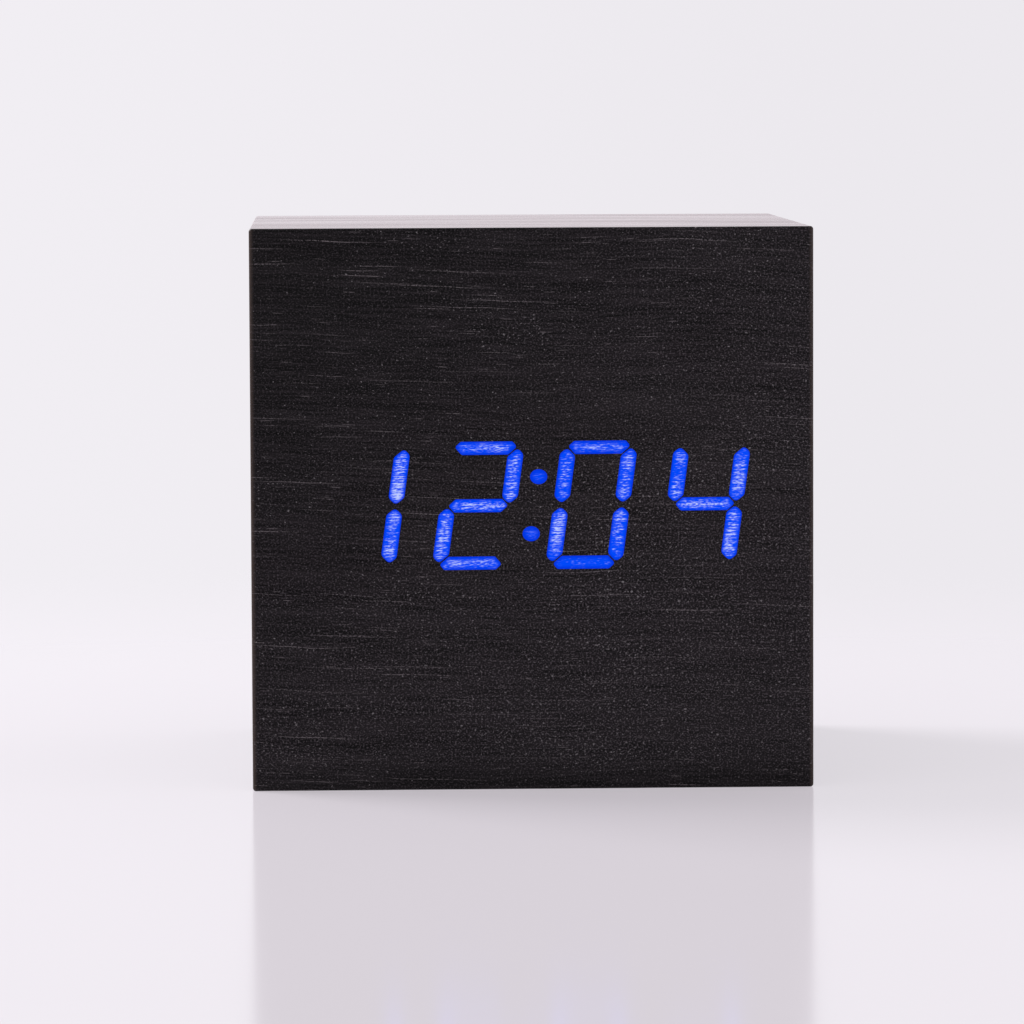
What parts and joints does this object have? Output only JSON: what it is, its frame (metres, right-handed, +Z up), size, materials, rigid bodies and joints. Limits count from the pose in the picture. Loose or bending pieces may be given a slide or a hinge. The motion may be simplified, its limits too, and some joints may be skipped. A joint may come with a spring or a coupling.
{
  "type": "cube alarm clock",
  "caption": "Black wood-veneered cube alarm clock whose lit seven-segment time shines through the front; battery door, set buttons, mode switch and power inlet on the rear cover.",
  "frame": {"origin": "middle of the base, on the surface that the clock stands on", "axes": "+Z up, the lit front faces -Y, the rear cover faces +Y and +X is to the right seen from the front"},
  "size_m": [0.068, 0.068, 0.068],
  "materials": {
    "black_veneer": "black-stained open-pored veneer with a satin lacquer",
    "fibreboard": "raw medium density fibreboard",
    "lit_veneer": "blue light coming through thin black veneer",
    "diffuser": "frosted film",
    "white_abs": "white moulded plastic",
    "circuit_board": "green solder mask",
    "led": "clear encapsulated chip",
    "zinc_steel": "zinc plated steel",
    "black_steel": "black oxide steel",
    "cream_nylon": "cream moulded nylon",
    "ribbon": "grey vinyl ribbon",
    "black_abs": "black plastic with a fine moulded texture",
    "button_abs": "smooth black plastic",
    "knob_abs": "pale moulded plastic",
    "cell_wrap": "shrunk sleeve with bare metal ends",
    "nickel": "nickel plated spring steel",
    "red_lead": "red vinyl insulation",
    "black_lead": "black vinyl insulation",
    "black_nylon": "black moulded nylon",
    "brass_pin": "nickel-free brass",
    "chip_epoxy": "black moulded epoxy",
    "sleeve": "dark blue sleeve"
  },
  "bodies": {
    "case": {"front_veneer": "black_veneer", "top_veneer": "black_veneer", "bottom_veneer": "black_veneer", "left_veneer": "black_veneer", "right_veneer": "black_veneer", "rear_edge_band": "black_veneer", "front_panel": "fibreboard", "top_panel": "fibreboard", "bottom_panel": "fibreboard", "left_panel": "fibreboard", "right_panel": "fibreboard", "corner_blocks": "fibreboard", "lit_hour_tens": "lit_veneer", "lit_hour_units": "lit_veneer", "lit_colon": "lit_veneer", "lit_minute_tens": "lit_veneer", "lit_minute_units": "lit_veneer", "diffuser_film": "diffuser", "reflector": "white_abs", "display_board": "circuit_board", "main_board": "circuit_board", "display_leds": "led", "display_screws": "zinc_steel", "main_board_screws": "zinc_steel", "rear_cover_screws": "black_steel", "display_plug": "cream_nylon", "main_plug": "cream_nylon", "ribbon_cable": "ribbon", "rear_cover": "black_abs", "battery_cells": "cell_wrap", "battery_contacts": "nickel", "battery_springs": "nickel", "clock_chip_legs": "nickel", "clock_crystal": "nickel", "coin_cell": "nickel", "microphone": "nickel", "slide_switch": "nickel", "positive_lead": "red_lead", "negative_lead": "black_lead", "push_switches": "black_nylon", "power_inlet": "black_nylon", "coin_cell_holder": "black_nylon", "buzzer": "black_nylon", "power_pin": "brass_pin", "clock_chip": "chip_epoxy", "capacitor": "sleeve"},
    "set_key": {"set_button": "button_abs", "set_plunger": "white_abs"},
    "down_key": {"down_button": "button_abs", "down_plunger": "white_abs"},
    "up_key": {"up_button": "button_abs", "up_plunger": "white_abs"},
    "mode_knob": {"slide_knob": "knob_abs"},
    "door": {"battery_door": "black_abs"}
  },
  "joints": [
    {"name": "set_press", "type": "slide", "parent": "case", "child": "set_key", "axis": [0, -1, 0], "range_m": [0, 0.0005], "stiffness_N_per_m": 3000},
    {"name": "down_press", "type": "slide", "parent": "case", "child": "down_key", "axis": [0, -1, 0], "range_m": [0, 0.0005], "stiffness_N_per_m": 3000},
    {"name": "up_press", "type": "slide", "parent": "case", "child": "up_key", "axis": [0, -1, 0], "range_m": [0, 0.0005], "stiffness_N_per_m": 3000},
    {"name": "mode_slide", "type": "slide", "parent": "case", "child": "mode_knob", "axis": [1, 0, 0], "range_m": [0, 0.002]},
    {"name": "door_hinge", "type": "hinge", "parent": "case", "child": "door", "pos_m": [0, 0.03115, 0.01335], "axis": [-1, 0, 0], "range_deg": [0, 95]}
  ]
}
